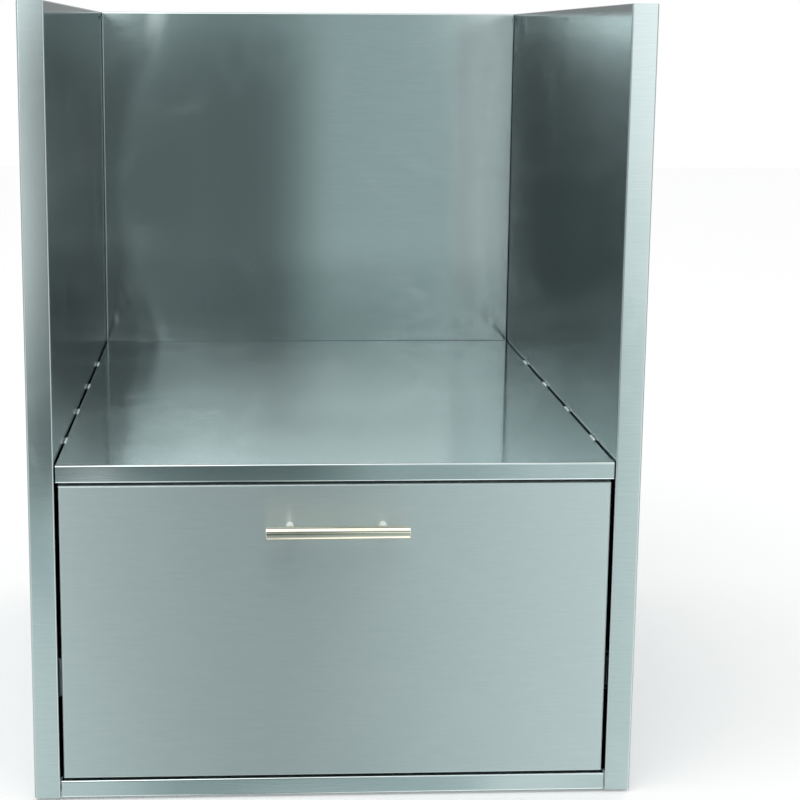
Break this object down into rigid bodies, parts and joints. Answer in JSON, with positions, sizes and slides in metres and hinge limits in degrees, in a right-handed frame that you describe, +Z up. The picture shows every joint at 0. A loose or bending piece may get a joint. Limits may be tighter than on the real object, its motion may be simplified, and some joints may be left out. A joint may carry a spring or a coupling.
{
  "type": "grill cabinet with drawer",
  "caption": "Stainless base cabinet for an outdoor kitchen: an open bay with a shelf that takes a grill, over a wide drawer on telescopic slides with a bar handle.",
  "frame": {"origin": "on the floor, under the middle of the whole object, handle included", "axes": "+Z up, -Y towards the front where the drawer opens, +X to the right seen from the front"},
  "size_m": [0.67, 0.8, 0.879],
  "materials": {
    "body_steel": "brushed stainless, grain level",
    "deck_steel": "brushed stainless, grain along the width",
    "drawer_face_steel": "brushed stainless, grain along the width",
    "drawer_box_steel": "mill finish stainless",
    "stiffener_steel": "mill finish stainless",
    "weld_bead": "bright bare weld",
    "handle_steel": "satin ground bar",
    "screw_steel": "plain stainless",
    "slide_zinc": "bright zinc plate",
    "cage_steel": "bright pressed strip",
    "ball_steel": "polished",
    "buffer_rubber": "moulded, matte",
    "foot_nylon": "moulded nylon, matte",
    "stem_zinc": "zinc plated thread"
  },
  "bodies": {
    "cabinet": {"side_frame_left": "body_steel", "side_frame_right": "body_steel", "side_cover_left": "body_steel", "side_cover_right": "body_steel", "back_panel": "body_steel", "back_panel_screws": "screw_steel", "floor_pan": "deck_steel", "shelf_deck": "deck_steel", "shelf_stiffeners": "stiffener_steel", "shelf_welds": "weld_bead", "foot_nut_plates": "stiffener_steel", "slide_outer_left": "slide_zinc", "slide_outer_right": "slide_zinc", "slide_outer_screws_left": "screw_steel", "slide_outer_screws_right": "screw_steel", "slide_stop_left": "buffer_rubber", "slide_stop_right": "buffer_rubber"},
    "drawer": {"drawer_front_skin": "drawer_face_steel", "drawer_front_liner": "drawer_box_steel", "drawer_side_left": "drawer_box_steel", "drawer_side_right": "drawer_box_steel", "drawer_bottom": "drawer_box_steel", "drawer_back": "drawer_box_steel", "drawer_front_screws": "screw_steel", "handle_bar": "handle_steel", "handle_post_left": "handle_steel", "handle_post_right": "handle_steel", "handle_screws": "screw_steel", "slide_inner_left": "slide_zinc", "slide_inner_right": "slide_zinc", "slide_inner_screws_left": "screw_steel", "slide_inner_screws_right": "screw_steel"},
    "slide_middle_left": {"slide_middle_left": "slide_zinc"},
    "slide_cage_outer_left": {"slide_cage_outer_left": "cage_steel", "slide_balls_outer_left": "ball_steel"},
    "slide_cage_inner_left": {"slide_cage_inner_left": "cage_steel", "slide_balls_inner_left": "ball_steel"},
    "slide_middle_right": {"slide_middle_right": "slide_zinc"},
    "slide_cage_outer_right": {"slide_cage_outer_right": "cage_steel", "slide_balls_outer_right": "ball_steel"},
    "slide_cage_inner_right": {"slide_cage_inner_right": "cage_steel", "slide_balls_inner_right": "ball_steel"},
    "foot_front_left": {"foot_pad_front_left": "foot_nylon", "foot_stem_front_left": "stem_zinc"},
    "foot_front_right": {"foot_pad_front_right": "foot_nylon", "foot_stem_front_right": "stem_zinc"},
    "foot_rear_left": {"foot_pad_rear_left": "foot_nylon", "foot_stem_rear_left": "stem_zinc"},
    "foot_rear_right": {"foot_pad_rear_right": "foot_nylon", "foot_stem_rear_right": "stem_zinc"}
  },
  "joints": [
    {"name": "drawer_slide", "type": "slide", "parent": "cabinet", "child": "drawer", "axis": [0, -1, 0], "range_m": [0, 0.62]},
    {"name": "slide_middle_left_run", "type": "slide", "parent": "cabinet", "child": "slide_middle_left", "axis": [0, -1, 0], "range_m": [0, 0.31]},
    {"name": "slide_cage_outer_left_run", "type": "slide", "parent": "cabinet", "child": "slide_cage_outer_left", "axis": [0, -1, 0], "range_m": [0, 0.155]},
    {"name": "slide_cage_inner_left_run", "type": "slide", "parent": "cabinet", "child": "slide_cage_inner_left", "axis": [0, -1, 0], "range_m": [0, 0.465]},
    {"name": "slide_middle_right_run", "type": "slide", "parent": "cabinet", "child": "slide_middle_right", "axis": [0, -1, 0], "range_m": [0, 0.31]},
    {"name": "slide_cage_outer_right_run", "type": "slide", "parent": "cabinet", "child": "slide_cage_outer_right", "axis": [0, -1, 0], "range_m": [0, 0.155]},
    {"name": "slide_cage_inner_right_run", "type": "slide", "parent": "cabinet", "child": "slide_cage_inner_right", "axis": [0, -1, 0], "range_m": [0, 0.465]},
    {"name": "foot_front_left_level", "type": "slide", "parent": "cabinet", "child": "foot_front_left", "axis": [0, 0, -1], "range_m": [0, 0.01]},
    {"name": "foot_front_right_level", "type": "slide", "parent": "cabinet", "child": "foot_front_right", "axis": [0, 0, -1], "range_m": [0, 0.01]},
    {"name": "foot_rear_left_level", "type": "slide", "parent": "cabinet", "child": "foot_rear_left", "axis": [0, 0, -1], "range_m": [0, 0.01]},
    {"name": "foot_rear_right_level", "type": "slide", "parent": "cabinet", "child": "foot_rear_right", "axis": [0, 0, -1], "range_m": [0, 0.01]}
  ],
  "couplings": [
    {"joint": "slide_middle_left_run", "follows": "drawer_slide", "ratio": 0.5},
    {"joint": "slide_cage_outer_left_run", "follows": "drawer_slide", "ratio": 0.25},
    {"joint": "slide_cage_inner_left_run", "follows": "drawer_slide", "ratio": 0.75},
    {"joint": "slide_middle_right_run", "follows": "drawer_slide", "ratio": 0.5},
    {"joint": "slide_cage_outer_right_run", "follows": "drawer_slide", "ratio": 0.25},
    {"joint": "slide_cage_inner_right_run", "follows": "drawer_slide", "ratio": 0.75}
  ]
}
